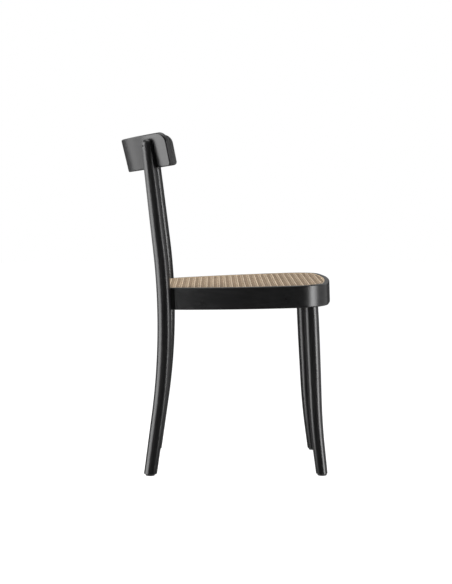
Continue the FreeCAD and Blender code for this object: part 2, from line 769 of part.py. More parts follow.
def board_corners(grown, depth):
    """Section of the board in its cone's frame, with its slanted faces, as expressions."""
    slant = turned("board_flare", "sin")
    upright = turned("board_flare", "cos")
    half = f"({cell('board_height')} / 2 + {grown})"
    face = f"({cell('board_radius')} + {grown})"
    low = (f"{face} - {half} * {slant}", f"-{half} * {upright}")
    high = (f"{face} + {half} * {slant}", f"{half} * {upright}")
    inwards = (f"({depth}) * {upright}", f"({depth}) * {slant}")
    return [low, high, (f"{high[0]} - {inwards[0]}", f"{high[1]} + {inwards[1]}"),
            (f"{low[0]} - {inwards[0]}", f"{low[1]} + {inwards[1]}")]


def turned_board(doc, name, frame, grown, depth):
    """Revolve the board's section about the cone's axis, half to each side."""
    body = new_body(doc, name, frame)
    section = new_sketch(body, f"{name}_section", "YZ_Plane")
    add_polygon(section, board_corners(grown, depth))
    turn = body.newObject("PartDesign::Revolution", f"{name}_turn")
    turn.Profile = section
    turn.ReferenceAxis = (section, ["V_Axis"])
    turn.setExpression("Angle", cell("board_angle"))
    turn.Midplane = True
    doc.recompute()
    return body, turn


def back_board_blank(doc, frame):
    """The board with its ends rounded and every edge eased."""
    body, turn = turned_board(doc, "back_board_blank", frame, "0", cell("board_thickness"))
    through = [edge for edge in turn.Shape.Edges if isinstance(edge.Curve, Part.Line)
               and abs(edge.Length - SIZES["board_thickness"]) < 0.01]
    above = [edge for edge in through if edge.CenterOfMass.z > 0]
    below = [edge for edge in through if edge.CenterOfMass.z < 0]
    high = round_edges(body, "board_top_corners", turn, above, cell("board_top_corner"))
    doc.recompute()
    low_edges = [edge for edge in high.Shape.Edges
                 if any(edge.CenterOfMass.distanceToPoint(other.CenterOfMass) < 0.01
                        for other in below)]
    low = round_edges(body, "board_bottom_corners", high, low_edges, cell("board_bottom_corner"))
    doc.recompute()
    faces = [face for face in low.Shape.Faces if isinstance(face.Surface, Part.Cone)]
    broad = sorted(faces, key=lambda face: face.Area)[-2:]
    arrises = [edge for face in broad for edge in face.OuterWire.Edges]
    round_edges(body, "board_arrises", low, arrises, cell("board_rounding"))
    return body


def board_screw_placements(frame, post_x):
    """Axes square to the board's inner face, pointing out into the posts."""
    flare = math.radians(SIZES["board_flare"])
    swing = math.degrees(math.asin(post_x / (SIZES["board_radius"] + SIZES["board_standoff"])))
    placements = []
    for rise in (SIZES["board_screw_spread"], -SIZES["board_screw_spread"]):
        radius = (SIZES["board_radius"] - SIZES["board_thickness"] / math.cos(flare)
                  + rise * math.tan(flare))
        on_face = Placement(Vector(0, radius, rise), Rotation(ACROSS, 90 - SIZES["board_flare"]))
        around = Placement(Vector(), Rotation(UP, -swing))
        placements.append(frame.multiply(around).multiply(on_face))
    return placements


# Fasteners and glides: profiles as (radius, height) expressions, heads up

def head_and_shank(head, head_height, shank, length, flat_under=True, point="0"):
    """Half profile of a screw: the head's top is above its seat where it is flat under."""
    head_radius = f"{cell(head)} / 2"
    shank_radius = f"{cell(shank)} / 2"
    if flat_under:
        return [("0", cell(head_height)), (head_radius, cell(head_height)), (head_radius, "0"),
                (shank_radius, "0"), (shank_radius, f"-{length}"), ("0", f"-{length} - {point}")]
    return [("0", "0"), (head_radius, "0"), (shank_radius, f"-{cell(head_height)}"),
            (shank_radius, f"-{length} + {point}"), ("0", f"-{length}")]


def fastener_bodies(doc):
    """One turned body for each kind of fastener, plug and glide."""
    ring = [(f"{cell('washer_diameter')} / 2", "0"),
            (f"{cell('washer_diameter')} / 2", cell("washer_thickness")),
            (f"{cell('bolt_hole_diameter')} / 2", cell("washer_thickness")),
            (f"{cell('bolt_hole_diameter')} / 2", "0")]
    bore = f"{cell('bolt_diameter')} / 2 + {cell('thread_gap')}"
    sleeve = [(f"{cell('insert_diameter')} / 2", "0"), (bore, "0"),
              (bore, f"-{cell('insert_length')}"),
              (f"{cell('insert_diameter')} / 2", f"-{cell('insert_length')}")]
    plug = [("0", "0"), (f"{cell('plug_diameter')} / 2", "0"),
            (f"{cell('plug_diameter')} / 2", f"-{cell('plug_length')}"),
            ("0", f"-{cell('plug_length')}")]
    rim = f"{cell('glide_diameter')} / 2"
    well = f"{cell('nail_head')} / 2 + {cell('pilot_gap')}"
    well_top = f"{cell('nail_recess')} + {cell('nail_head_height')}"
    eye = f"{cell('nail_diameter')} / 2 + {cell('pilot_gap')}"
    glide = [(eye, cell("glide_height")), (rim, cell("glide_height")),
             (rim, cell("glide_chamfer")), (f"{rim} - {cell('glide_chamfer')}", "0"),
             (well, "0"), (well, well_top), (eye, well_top)]
    shank = f"{cell('nail_diameter')} / 2"
    nail = [("0", cell("nail_recess")), (f"{cell('nail_head')} / 2", cell("nail_recess")),
            (f"{cell('nail_head')} / 2", well_top), (shank, well_top),
            (shank, f"{cell('nail_length')} - {cell('nail_point')}"), ("0", cell("nail_length"))]
    return {
        "bolt": turned_body(doc, "bolt_body", head_and_shank(
            "bolt_head_diameter", "bolt_head_height", "bolt_diameter", cell("bolt_length")), True),
        "washer": turned_body(doc, "washer_body", ring),
        "insert": turned_body(doc, "insert_body", sleeve),
        "block_screw": turned_body(doc, "block_screw_body", head_and_shank(
            "block_screw_head", "block_screw_head_height", "block_screw_diameter",
            cell("block_screw_length"), False, cell("block_screw_diameter"))),
        "board_screw": turned_body(doc, "board_screw_body", head_and_shank(
            "board_screw_head", "board_screw_head_height", "board_screw_diameter",
            cell("board_screw_length"), True, cell("board_screw_diameter"))),
        "plug": turned_body(doc, "plug_body", plug),
        "glide": turned_body(doc, "glide_body", glide),
        "nail": turned_body(doc, "nail_body", nail),
    }


def shifted(placements, distance):
    """The same axes, moved along their own +Z."""
    return [placement.multiply(Placement(Vector(0, 0, distance), Rotation()))
            for placement in placements]


def countersinks(doc, name, placements):
    """Countersunk screw holes: a cone for the head and a shank hole."""
    gap = SIZES["pilot_gap"]
    head = SIZES["block_screw_head"] / 2 + gap
    shank = SIZES["block_screw_diameter"] / 2 + gap
    depth = SIZES["block_screw_head_height"]
    tools = []
    for placement in placements:
        cone = Part.makeCone(head, shank, depth, Vector(), -UP)
        stem = Part.makeCylinder(shank, SIZES["block_screw_length"] + gap, Vector(), -UP)
        tool = cone.fuse(stem)
        tool.Placement = placement
        tools.append(tool)
    result = doc.addObject("Part::Feature", name)
    result.Label = name
    result.Shape = Part.makeCompound(tools)
    return result


def build(doc):
    """Make every piece and return the nodes by name."""
    make_sheet(doc)
    plan = seat_plan()
    front_spot = front_leg_spot(plan)
    rear_spot = rear_leg_spot(plan)
    frame = seat_frame(front_spot)
    mid_apron = frame.multVec(Vector(rear_spot.x, rear_spot.y, -SIZES["apron_height"] / 2))
    post_x = mid_apron.x
    post_y = mid_apron.y - rear_leg_offset(mid_apron.z)
    cone_frame = board_frame(post_x, post_y)
    kit = fastener_bodies(doc)
    doc.recompute()

    front_out = -SIZES["front_leg_angle"]
    rear_out = SIZES["rear_leg_angle"]
    bolt_level = -SIZES["apron_height"] + SIZES["rear_block_height"] / 2
    bolts = screw_placements(frame, rear_spot, rear_out, "rear",
                             [(0, bolt_level + SIZES["bolt_pitch"] / 2),
                              (0, bolt_level - SIZES["bolt_pitch"] / 2)])
    spread = SIZES["block_screw_spread"]
    block_level = -SIZES["apron_height"] + SIZES["front_block_height"] / 2
    screws = []
    for spot, angle, kind in ((front_spot, front_out, "front"), (rear_spot, rear_out, "rear")):
        screws += screw_placements(frame, spot, angle, kind,
                                   [(spread, block_level), (-spread, block_level)])
    board_screws = board_screw_placements(cone_frame, post_x)
    all_screws = mirror_placements(screws)
    all_bolts = mirror_placements(bolts)
    bolt_holes = holes(doc, "bolt_holes", SIZES["bolt_hole_diameter"], 0,
                       SIZES["bolt_length"] + SIZES["pilot_gap"], all_bolts)
    screw_holes = countersinks(doc, "screw_holes", all_screws)

    nodes = {}
    ring = cut(doc, "seat_ring_drilled", seat_ring_blank(doc, frame), screw_holes)
    nodes["seat_ring"] = cut(doc, "seat_ring", ring, bolt_holes)
    nodes["cane_panel"] = cane_panel(doc, frame)
    nodes["cane_spline"] = cane_spline(doc, frame)

    front_block = corner_block(doc, "front_block_blank", frame, front_spot, front_out, "front")
    rear_block = corner_block(doc, "rear_block_blank", frame, rear_spot, rear_out, "rear")
    nodes["front_corner_block_left"] = cut(doc, "front_corner_block_left", front_block, screw_holes)
    drilled = cut(doc, "rear_block_drilled", rear_block, screw_holes)
    nodes["rear_corner_block_left"] = cut(doc, "rear_corner_block_left", drilled, bolt_holes)
    nodes["front_leg_left"] = front_leg(doc, "front_leg_left", front_spot, frame)

    board = back_board_blank(doc, cone_frame)
    seat_depth = SIZES["plug_length"] + SIZES["board_screw_head_height"] + SIZES["glue_gap"]
    counterbores = holes(doc, "plug_holes", SIZES["plug_diameter"] + 2 * SIZES["pilot_gap"],
                         -SIZES["board_rounding"], seat_depth + SIZES["board_rounding"],
                         mirror_placements(board_screws))
    shank_holes = holes(doc, "board_screw_holes", SIZES["board_screw_diameter"] + 2 * SIZES["pilot_gap"],
                        0, seat_depth + SIZES["board_screw_length"] + SIZES["board_screw_diameter"],
                        mirror_placements(board_screws))
    bored = cut(doc, "back_board_bored", board, counterbores)
    nodes["back_board"] = cut(doc, "back_board", bored, shank_holes)

    post_place = Placement(Vector(post_x, post_y, 0), Rotation())
    leg = rear_leg_blank(doc, "rear_leg_blank", post_place)
    board_bed, _ = turned_board(doc, "board_bed", cone_frame, cell("glue_gap"),
                                f"2 * {cell('board_thickness')}")
    on_board = cut(doc, "rear_leg_on_board", leg, board_bed)
    on_ring = cut(doc, "rear_leg_on_ring", on_board, seat_tools(doc, frame))
    skin = SIZES["rear_block_reach"] - SIZES["rear_seat_diameter"] / 2 + SIZES["rear_notch"]
    insert_start = skin + SIZES["insert_depth"]
    insert_holes = holes(doc, "insert_holes", SIZES["insert_diameter"] + 2 * SIZES["pilot_gap"], 0,
                         insert_start + SIZES["insert_length"] + SIZES["glue_gap"], bolts)
    drilled_leg = cut(doc, "rear_leg_drilled", on_ring, insert_holes)
    nodes["rear_leg_left"] = cut(doc, "rear_leg_left", drilled_leg, shank_holes)

    for left in [name for name in nodes if name.endswith("_left")]:
        right = left.replace("_left", "_right")
        nodes[right] = mirrored(doc, right, nodes[left])

    nodes["rear_leg_washers"] = group(doc, "rear_leg_washers", kit["washer"], all_bolts)
    nodes["rear_leg_bolts"] = group(doc, "rear_leg_bolts", kit["bolt"],
                                    shifted(all_bolts, SIZES["washer_thickness"]))
    nodes["rear_leg_inserts"] = group(doc, "rear_leg_inserts", kit["insert"],
                                      shifted(all_bolts, -insert_start))
    nodes["corner_block_screws"] = group(doc, "corner_block_screws", kit["block_screw"], all_screws)
    all_board_screws = mirror_placements(board_screws)
    nodes["back_board_screws"] = group(doc, "back_board_screws", kit["board_screw"],
                                       shifted(all_board_screws, -seat_depth))
    nodes["back_board_plugs"] = group(doc, "back_board_plugs", kit["plug"], all_board_screws)

    front_foot = frame.multVec(Vector(front_spot.x, front_spot.y, -SIZES["apron_height"]))
    feet = {
        "front": Vector(front_foot.x, front_foot.y - SIZES["front_foot_reach"], 0),
        "rear": Vector(post_x, post_y + SIZES["rear_foot_reach"], 0),
    }
    nail_places = []
    for end, foot in feet.items():
        for side, sign in (("left", 1), ("right", -1)):
            place = Placement(Vector(sign * foot.x, foot.y, 0), Rotation())
            name = f"glide_{end}_{side}"
            nodes[name] = group(doc, name, kit["glide"], [place])
            nail_places.append(place)
    nodes["glide_nails"] = group(doc, "glide_nails", kit["nail"], nail_places)
    doc.recompute()
    return nodes


def check(doc, nodes):
    """Stop where an object failed or a node's shape is missing or broken."""
    for item in doc.Objects:
        for state in ("Invalid", "Error"):
            if state in item.State:
                raise RuntimeError(f"{item.Label}: {item.State}")
    for name, item in nodes.items():
        shape = item.Shape
        if shape.isNull() or not shape.isValid() or not shape.Solids:
            raise RuntimeError(f"{name} has no valid shape")


def main():
    doc = FreeCAD.newDocument("bentwood_chair")
    nodes = build(doc)
    check(doc, nodes)
    os.makedirs("parts", exist_ok=True)
    for name, item in nodes.items():
        item.Shape.exportStep(f"parts/{name}.step")
        print(name, len(item.Shape.Solids), "solids", round(item.Shape.Volume / 1000, 2), "cm3")


main()
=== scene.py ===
import logging
import math
from dataclasses import dataclass, field
from enum import Enum

import bmesh
import bpy
from mathutils import Matrix, Vector


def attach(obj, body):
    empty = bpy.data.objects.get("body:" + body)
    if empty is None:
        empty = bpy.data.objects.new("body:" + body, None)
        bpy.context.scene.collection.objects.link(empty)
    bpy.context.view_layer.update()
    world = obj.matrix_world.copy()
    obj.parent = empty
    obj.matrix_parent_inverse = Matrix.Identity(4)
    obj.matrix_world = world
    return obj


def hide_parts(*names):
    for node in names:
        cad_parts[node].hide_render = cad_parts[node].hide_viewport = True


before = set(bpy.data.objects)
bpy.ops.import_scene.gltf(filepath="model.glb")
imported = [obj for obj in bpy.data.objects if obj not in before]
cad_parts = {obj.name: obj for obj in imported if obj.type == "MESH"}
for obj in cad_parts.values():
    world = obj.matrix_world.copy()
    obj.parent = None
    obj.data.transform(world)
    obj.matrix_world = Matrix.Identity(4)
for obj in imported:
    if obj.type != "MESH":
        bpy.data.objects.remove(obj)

LOG = logging.getLogger("bentwood_chair")
BODY = "root"
PICTURE = (452, 584)
UP = Vector((0.0, 0.0, 1.0))
WHITE = (1.0, 1.0, 1.0, 1.0)
WELD = 1e-6
STRAND_MARGIN = 0.04
STRAND_SPAN = 0.92

Colour = tuple[float, float, float]


# Node trees

class NodeBench:
    """A shader tree under construction, with short calls for adding and joining nodes."""

    def __init__(self, tree: bpy.types.NodeTree) -> None:
        """Empty the tree.

        Args:
            tree: The tree of a material or a world.
        """
        self.tree = tree
        tree.nodes.clear()

    def add(self, kind: str, settings: dict | None = None, **sockets: object) -> bpy.types.Node:
        """Add a node.

        Args:
            kind: The node's type name after "ShaderNode".
            settings: Properties of the node itself.
            **sockets: Values or source sockets by input name, with _ for a space.

        Returns:
            The new node.
        """
        node = self.tree.nodes.new(f"ShaderNode{kind}")
        for name, value in (settings or {}).items():
            setattr(node, name, value)
        for name, value in sockets.items():
            self.feed(node.inputs[name.replace("_", " ")], value)
        return node

    def feed(self, socket: bpy.types.NodeSocket, value: object) -> None:
        """Link a source socket to an input, or set the input's value.

        Args:
            socket: The input.
            value: A source socket or a plain value.
        """
        if isinstance(value, bpy.types.NodeSocket):
            self.tree.links.new(value, socket)
        else:
            socket.default_value = value

    def math(self, operation: str, first: object, second: object = 0.0) -> bpy.types.NodeSocket:
        """Add a Math node.

        Args:
            operation: The operation's name.
            first: First value or source.
            second: Second value or source.

        Returns:
            The result socket.
        """
        node = self.add("Math", {"operation": operation})
        self.feed(node.inputs[0], first)
        self.feed(node.inputs[1], second)
        return node.outputs[0]

    def ramp(self, source: bpy.types.NodeSocket,
             stops: list[tuple[float, Colour]]) -> bpy.types.NodeSocket:
        """Map a value to a colour, with eased steps.

        Args:
            source: The value.
            stops: Pairs of position and (red, green, blue).

        Returns:
            The colour socket.
        """
        node = self.add("ValToRGB", Fac=source)
        ramp = node.color_ramp
        ramp.interpolation = "EASE"
        while len(ramp.elements) < len(stops):
            ramp.elements.new(1.0)
        for element, (position, colour) in zip(ramp.elements, stops):
            element.position = position
            element.color = (*colour, 1.0)
        return node.outputs["Color"]

    def noise(self, place: bpy.types.NodeSocket, scale: float, detail: float,
              roughness: float = 0.5) -> bpy.types.NodeSocket:
        """Add a noise pattern.

        Args:
            place: The coordinates.
            scale: Its fineness.
            detail: Number of finer layers.
            roughness: Strength of the finer layers.

        Returns:
            The pattern's value.
        """
        return self.add("TexNoise", Vector=place, Scale=scale, Detail=detail,
                        Roughness=roughness).outputs[0]

    def spread(self, source: bpy.types.NodeSocket, low: float, high: float, start: float = 0.0,
               end: float = 1.0) -> bpy.types.NodeSocket:
        """Stretch a range of a value over another range.

        Args:
            source: The value.
            low: Its value at the start.
            high: Its value at the end.
            start: Result at the start.
            end: Result at the end.

        Returns:
            The result socket.
        """
        return self.add("MapRange", Value=source, From_Min=low, From_Max=high, To_Min=start,
                        To_Max=end).outputs["Result"]

    def blend(self, share: bpy.types.NodeSocket, under: bpy.types.NodeSocket,
              over: Colour) -> bpy.types.NodeSocket:
        """Lay a flat colour over another where a share says so.

        Args:
            share: How much of the flat colour shows.
            under: The colour below.
            over: The flat colour.

        Returns:
            The mixed colour.
        """
        node = self.add("Mix", {"data_type": "RGBA"})
        self.feed(node.inputs[0], share)
        self.feed(node.inputs[6], under)
        self.feed(node.inputs[7], (*over, 1.0))
        return node.outputs[2]

    def bump(self, height: bpy.types.NodeSocket, strength: float, distance: float,
             **under: bpy.types.NodeSocket) -> bpy.types.NodeSocket:
        """Raise a surface by a height.

        Args:
            height: The height's source.
            strength: Share of the effect.
            distance: Metres of relief.
            **under: The normal below, as Normal, where there is one.

        Returns:
            The raised surface's normal.
        """
        return self.add("Bump", Strength=strength, Distance=distance, Height=height,
                        **under).outputs["Normal"]


def new_bench(name: str) -> tuple[bpy.types.Material, NodeBench, bpy.types.Node]:
    """Start a material with a Principled shader.

    Args:
        name: The material's name.

    Returns:
        The material, its bench and its Principled node.
    """
    material = bpy.data.materials.new(name)
    material.use_nodes = True
    bench = NodeBench(material.node_tree)
    shader = bench.add("BsdfPrincipled")
    output = bench.add("OutputMaterial")
    bench.feed(output.inputs["Surface"], shader.outputs["BSDF"])
    return material, bench, shader


# Finishes

class GrainRun(Enum):
    """Which way the wood's fibres run in a piece."""

    UPRIGHT = "along the leg"
    ROUND_SEAT = "round the seat ring"
    ROUND_BOARD = "round the back board"
    BLOCK = "across a corner block"


@dataclass(frozen=True)
class BentGrain:
    """Coordinates that follow wood fibres: long along the grain and fine across it."""

    run: GrainRun
    stretch: float = 0.05
    seat_centre: tuple[float, float] = (0.0, -0.05)
    board_centre: tuple[float, float] = (0.0, 0.009)
    wheel: float = 0.2

    def coordinates(self, bench: NodeBench) -> bpy.types.NodeSocket:
        """Add the nodes.

        Args:
            bench: The material's bench.

        Returns:
            A vector socket, in metres across the grain.
        """
        place = bench.add("TexCoord").outputs["Object"]
        if self.run is GrainRun.UPRIGHT:
            mapping = bench.add("Mapping", Vector=place, Scale=(1.0, 1.0, self.stretch))
            return mapping.outputs["Vector"]
        if self.run is GrainRun.BLOCK:
            mapping = bench.add("Mapping", Vector=place, Scale=(self.stretch, 1.0, 1.0))
            return mapping.outputs["Vector"]
        centre = self.seat_centre if self.run is GrainRun.ROUND_SEAT else self.board_centre
        split = bench.add("SeparateXYZ", Vector=place)
        across = bench.math("SUBTRACT", split.outputs["X"], centre[0])
        along = bench.math("SUBTRACT", split.outputs["Y"], centre[1])
        swing = bench.math("ARCTAN2", across, along)
        squares = [bench.math("MULTIPLY", side, side) for side in (across, along)]
        reach = bench.math("SQRT", bench.math("ADD", *squares))
        run = bench.math("MULTIPLY", swing, self.wheel * self.stretch)
        joined = bench.add("CombineXYZ", X=run, Y=reach, Z=split.outputs["Z"])
        return joined.outputs["Vector"]


@dataclass(frozen=True)
class SatinLacquer:
    """Black satin lacquer over beech: faint pores, a slight ripple and uneven sheen."""

    name: str
    run: GrainRun
    deep: Colour = (0.0055, 0.0055, 0.0058)
    worn: Colour = (0.010, 0.010, 0.0104)
    sheen_low: float = 0.27
    sheen_high: float = 0.34
    pore_scale: float = 1500.0
    pore_depth: float = 0.00003
    ripple_scale: float = 90.0
    ripple_depth: float = 0.00006

    def material(self) -> bpy.types.Material:
        """Build the material.

        Returns:
            The lacquer, ready to assign.
        """
        material, bench, shader = new_bench(self.name)
        fibres = BentGrain(self.run).coordinates(bench)
        place = bench.add("TexCoord").outputs["Object"]
        pores = bench.noise(fibres, self.pore_scale, 3.0, 0.6)
        streaks = bench.noise(fibres, self.pore_scale / 8, 4.0, 0.55)
        ripple = bench.noise(place, self.ripple_scale, 2.0, 0.4)
        colour = bench.ramp(streaks, [(0.3, self.deep), (0.75, self.worn)])
        bench.feed(shader.inputs["Base Color"], colour)
        bench.feed(shader.inputs["Roughness"],
                   bench.spread(streaks, 0.25, 0.75, self.sheen_low, self.sheen_high))
        pitted = bench.ramp(pores, [(0.30, (0.0, 0.0, 0.0)), (0.44, (1.0, 1.0, 1.0))])
        fine = bench.bump(pitted, 0.35, self.pore_depth)
        soft = bench.bump(ripple, 0.5, self.ripple_depth, Normal=fine)
        bench.feed(shader.inputs["Normal"], soft)
        shader.inputs["IOR"].default_value = 1.5
        return material


@dataclass(frozen=True)
class CanePeel:
    """Shiny rattan peel: fibres along the strand, darker joints and dark sawn edges.

    The crown's middle and half width are shares of the way round the strand.
    """

    name: str
    pale: Colour = (0.60, 0.47, 0.32)
    warm: Colour = (0.45, 0.33, 0.21)
    node: Colour = (0.26, 0.17, 0.10)
    sawn: Colour = (0.15, 0.10, 0.06)
    crown_middle: float = 0.577
    crown_half: float = 0.235
    edge_blur: float = 0.03
    gloss: float = 0.40
    fibre_depth: float = 0.00004

    def material(self) -> bpy.types.Material:
        """Build the material. U counts strands, with the width inside, and V runs in metres.

        Returns:
            The cane material.
        """
        material, bench, shader = new_bench(self.name)
        split = bench.add("SeparateXYZ", Vector=bench.add("TexCoord").outputs["UV"])
        strand = bench.math("FLOOR", split.outputs["X"])
        across = bench.math("FRACT", split.outputs["X"])
        along = split.outputs["Y"]

        def pattern(side: tuple, run: float, other: tuple | float, detail: float,
                    roughness: float) -> bpy.types.NodeSocket:
            """Noise on stretched strand coordinates.

            Args:
                side: Source and scale of the first coordinate.
                run: Scale along the strand.
                other: Source and scale of the third coordinate, or its value.
                detail: Number of finer layers.
                roughness: Strength of the finer layers.

            Returns:
                The pattern's value.
            """
            depth = bench.math("MULTIPLY", *other) if isinstance(other, tuple) else other
            place = bench.add("CombineXYZ", X=bench.math("MULTIPLY", *side),
                              Y=bench.math("MULTIPLY", along, run), Z=depth)
            return bench.noise(place.outputs["Vector"], 1.0, detail, roughness)

        hair = pattern((across, 9.0), 28.0, (strand, 3.7), 3.0, 0.6)
        patch = pattern((strand, 5.3), 9.0, 0.0, 2.0, 0.5)
        tone = bench.math("ADD", bench.math("MULTIPLY", hair, 0.45),
                          bench.math("MULTIPLY", patch, 0.55))
        body = bench.ramp(tone, [(0.32, self.warm), (0.68, self.pale)])
        knot = pattern((strand, 7.9), 40.0, 4.0, 0.0, 0.5)
        marked = bench.blend(bench.spread(knot, 0.70, 0.78, 0.0, 0.8), body, self.node)
        aside = bench.math("ABSOLUTE", bench.math("SUBTRACT", across, self.crown_middle))
        edge = bench.spread(aside, self.crown_half - self.edge_blur,
                            self.crown_half + self.edge_blur)
        bench.feed(shader.inputs["Base Color"], bench.blend(edge, marked, self.sawn))
        bench.feed(shader.inputs["Roughness"],
                   bench.spread(hair, 0.3, 0.7, self.gloss - 0.06, self.gloss + 0.12))
        bench.feed(shader.inputs["Normal"], bench.bump(hair, 0.4, self.fibre_depth))
        return material


@dataclass(frozen=True)
class BareBeech:
    """Bare sanded beech: short rays, soft annual bands and a dry surface."""

    name: str = "bare_beech"
    light: Colour = (0.66, 0.47, 0.30)
    dark: Colour = (0.50, 0.33, 0.19)
    fleck: Colour = (0.36, 0.21, 0.11)
    ray_depth: float = 0.00005

    def material(self) -> bpy.types.Material:
        """Build the material.

        Returns:
            The beech material.
        """
        material, bench, shader = new_bench(self.name)
        fibres = BentGrain(GrainRun.BLOCK, stretch=0.12).coordinates(bench)
        bands = bench.noise(fibres, 220.0, 3.0)
        rays = bench.noise(fibres, 1100.0, 1.0, 0.4)
        base = bench.ramp(bands, [(0.3, self.dark), (0.7, self.light)])
        flecked = bench.blend(bench.spread(rays, 0.60, 0.68, 0.0, 0.7), base, self.fleck)
        bench.feed(shader.inputs["Base Color"], flecked)
        shader.inputs["Roughness"].default_value = 0.62
        bench.feed(shader.inputs["Normal"], bench.bump(rays, 0.3, self.ray_depth))
        return material


@dataclass(frozen=True)
class Metal:
    """Turned or plated metal with fine scratches and a cloudy sheen."""

    name: str
    colour: Colour
    dull: float
    polished: float
    scratch_depth: float = 0.00002

    def material(self) -> bpy.types.Material:
        """Build the material.

        Returns:
            The metal material.
        """
        material, bench, shader = new_bench(self.name)
        place = bench.add("TexCoord").outputs["Object"]
        cloud = bench.noise(place, 300.0, 4.0, 0.6)
        darker = tuple(0.72 * part for part in self.colour)
        tone = bench.ramp(cloud, [(0.3, darker), (0.7, self.colour)])
        bench.feed(shader.inputs["Base Color"], tone)
        bench.feed(shader.inputs["Roughness"],
                   bench.spread(cloud, 0.3, 0.7, self.polished, self.dull))
        shader.inputs["Metallic"].default_value = 1.0
        scratch = bench.noise(place, 2500.0, 1.0)
        bench.feed(shader.inputs["Normal"], bench.bump(scratch, 0.2, self.scratch_depth))
        return material


@dataclass(frozen=True)
class GlidePlastic:
    """Hard black plastic with a fine moulded texture and scuffs from the floor."""

    name: str = "glide_plastic"
    clean: Colour = (0.010, 0.010, 0.010)
    scuffed: Colour = (0.045, 0.044, 0.043)
    grain_depth: float = 0.00003

    def material(self) -> bpy.types.Material:
        """Build the material.

        Returns:
            The plastic material.
        """
        material, bench, shader = new_bench(self.name)
        place = bench.add("TexCoord").outputs["Object"]
        scuff = bench.noise(place, 500.0, 5.0, 0.7)
        tone = bench.ramp(scuff, [(0.35, self.clean), (0.8, self.scuffed)])
        bench.feed(shader.inputs["Base Color"], tone)
        shader.inputs["Roughness"].default_value = 0.5
        grain = bench.noise(place, 4000.0, 1.0)
        bench.feed(shader.inputs["Normal"], bench.bump(grain, 0.3, self.grain_depth))
        return material


# The seat's plan, in its own frame: x across, y back from the front edge, z up

@dataclass(frozen=True)
class SeatPlan:
    """The seat ring's outline of tangent arcs, and where it stands, in metres."""

    front_y: float = -0.25194
    height: float = 0.45493
    tilt: float = 1.74
    depth: float = 0.4145
    width: float = 0.4502
    widest: float = 0.086
    front_radius: float = 1.035
    side_radius: float = 0.810
    rear_radius: float = 1.2
    front_corner: float = 0.079
    rear_corner: float = 0.0575
    rim: float = 0.0112

    def matrix(self) -> Matrix:
        """Place of the seat's frame in the chair."""
        place = Matrix.Translation((0.0, self.front_y, self.height))
        return place @ Matrix.Rotation(-math.radians(self.tilt), 4, "X")

    def corner_centre(self, centre_y: float, radius: float, corner: float, back: int) -> Vector:
        """Centre of the arc that joins the side arc to the front or rear arc.

        Args:
            centre_y: Distance back of the front or rear arc's centre.
            radius: Radius of that arc.
            corner: Radius of the joining arc.
            back: 1 for the rear corner and -1 for the front one.

        Returns:
            The centre on the sitter's left.
        """
        side = Vector((self.width / 2 - self.side_radius, self.widest, 0.0))
        apart = side - Vector((0.0, centre_y, 0.0))
        reach, other = radius - corner, self.side_radius - corner
        along = (reach**2 - other**2 + apart.length**2) / (2 * apart.length)
        aside = math.sqrt(reach**2 - along**2)
        unit = apart.normalized()
        normal = Vector((-unit.y, unit.x, 0.0))
        base = Vector((0.0, centre_y, 0.0)) + unit * along
        return max((base + normal * aside, base - normal * aside),
                   key=lambda point: point.x + back * point.y)

    def arcs(self) -> list[tuple[Vector, float, float, float]]:
        """The eight arcs, anticlockwise from the left side.

        Returns:
            Centre, radius, start angle and end angle of each arc.
        """
        rear_y = self.depth - self.rear_radius
        front_y = self.front_radius
        side = Vector((self.width / 2 - self.side_radius, self.widest, 0.0))
        low = self.corner_centre(front_y, self.front_radius, self.front_corner, -1)
        high = self.corner_centre(rear_y, self.rear_radius, self.rear_corner, 1)
        front, rear = Vector((0.0, front_y, 0.0)), Vector((0.0, rear_y, 0.0))

        def heading(start: Vector, end: Vector) -> float:
            """Angle of the line between two centres."""
            return math.atan2(end.y - start.y, end.x - start.x)

        side_start, side_end = heading(side, low), heading(side, high)
        rear_start, front_end = heading(rear, high), heading(front, low)
        half = math.pi
        side_right, low_right, high_right = (
            Vector((-point.x, point.y, 0.0)) for point in (side, low, high))
        return [
            (side, self.side_radius, side_start, side_end),
            (high, self.rear_corner, side_end, rear_start),
            (rear, self.rear_radius, rear_start, half - rear_start),
            (high_right, self.rear_corner, half - rear_start, half - side_end),
            (side_right, self.side_radius, half - side_end, half - side_start),
            (low_right, self.front_corner, half - side_start, half - front_end),
            (front, self.front_radius, -half - front_end, front_end),
            (low, self.front_corner, front_end, side_start),
        ]

    def outline(self, inset: float, step: float = 0.004) -> list[Vector]:
        """Points round the outline, drawn in by an inset.

        Args:
            inset: Distance inside the ring's outer face.
            step: Spacing of the points.

        Returns:
            The points, anticlockwise.
        """
        points = []
        for centre, radius, start, end in self.arcs():
            count = max(6, round((end - start) * radius / step))
            for index in range(count):
                angle = start + (end - start) * index / count
                spoke = Vector((math.cos(angle), math.sin(angle), 0.0))
                points.append(centre + spoke * (radius - inset))
        return points


def chord(points: list[Vector], origin: Vector, run: Vector) -> tuple[float, float] | None:
    """Where a line crosses a closed convex outline.

    Args:
        points: The outline.
        origin: A point on the line.
        run: The line's unit direction.

    Returns:
        The two distances along the line, or None where it misses.
    """
    normal = Vector((-run.y, run.x, 0.0))
    hits = []
    for start, end in zip(points, points[1:] + points[:1]):
        low, high = (start - origin).dot(normal), (end - origin).dot(normal)
        if low * high < 0:
            cross = start + (end - start) * (low / (low - high))
            hits.append((cross - origin).dot(run))
    return (min(hits), max(hits)) if len(hits) >= 2 else None


# Pieces

